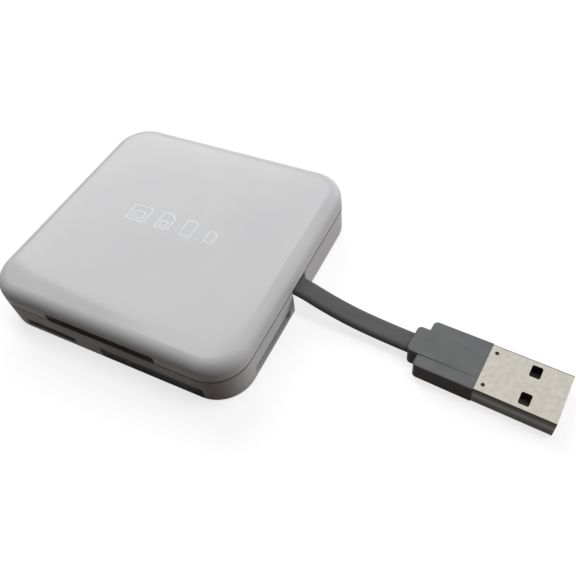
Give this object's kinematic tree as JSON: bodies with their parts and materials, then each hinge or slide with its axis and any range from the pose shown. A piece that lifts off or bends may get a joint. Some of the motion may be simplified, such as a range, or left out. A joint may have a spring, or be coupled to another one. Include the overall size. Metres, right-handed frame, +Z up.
{
  "type": "usb memory card reader",
  "caption": "Flat white memory card reader in a square snap-fit case with rounded corners, card mouths in the front and right walls, and a short flat cable to a usb plug.",
  "frame": {"origin": "middle of the case's underside, on the table", "axes": "+X to the side where the cable leaves, -Y to the front with the card mouths, +Z up"},
  "size_m": [0.124, 0.0618, 0.0131],
  "materials": {
    "case_white": "glossy white moulding",
    "board_green": "satin solder mask on glass-fibre laminate",
    "socket_black": "black moulding",
    "socket_steel": "bright sheet",
    "contact_gold": "gilt spring strip",
    "chip_black": "moulded package",
    "lead_tin": "tinned",
    "capacitor_tan": "matt",
    "resistor_black": "matt",
    "cable_grey": "satin sheath",
    "wire_red": "insulated conductor",
    "plug_grey": "satin moulding",
    "plug_nickel": "nickel-plated sheet",
    "insulator_black": "black moulding"
  },
  "bodies": {
    "root": {"bottom_cover": "case_white", "top_cover": "case_white", "main_board": "board_green", "controller_body": "chip_black", "controller_leads": "lead_tin", "crystal": "lead_tin", "regulator": "chip_black", "capacitors": "capacitor_tan", "resistors": "resistor_black", "cable_anchor": "cable_grey", "cable_wires": "wire_red", "cable": "cable_grey", "plug_overmould": "plug_grey", "plug_shell": "plug_nickel", "plug_insulator": "insulator_black", "plug_contacts": "contact_gold", "upper_socket_base": "socket_black", "upper_socket_shell": "socket_steel", "upper_socket_contacts": "contact_gold", "wide_socket_base": "socket_black", "wide_socket_shell": "socket_steel", "wide_socket_contacts": "contact_gold", "narrow_socket_base": "socket_black", "narrow_socket_shell": "socket_steel", "narrow_socket_contacts": "contact_gold", "side_socket_base": "socket_black", "side_socket_shell": "socket_steel", "side_socket_contacts": "contact_gold"}
  },
  "joints": []
}
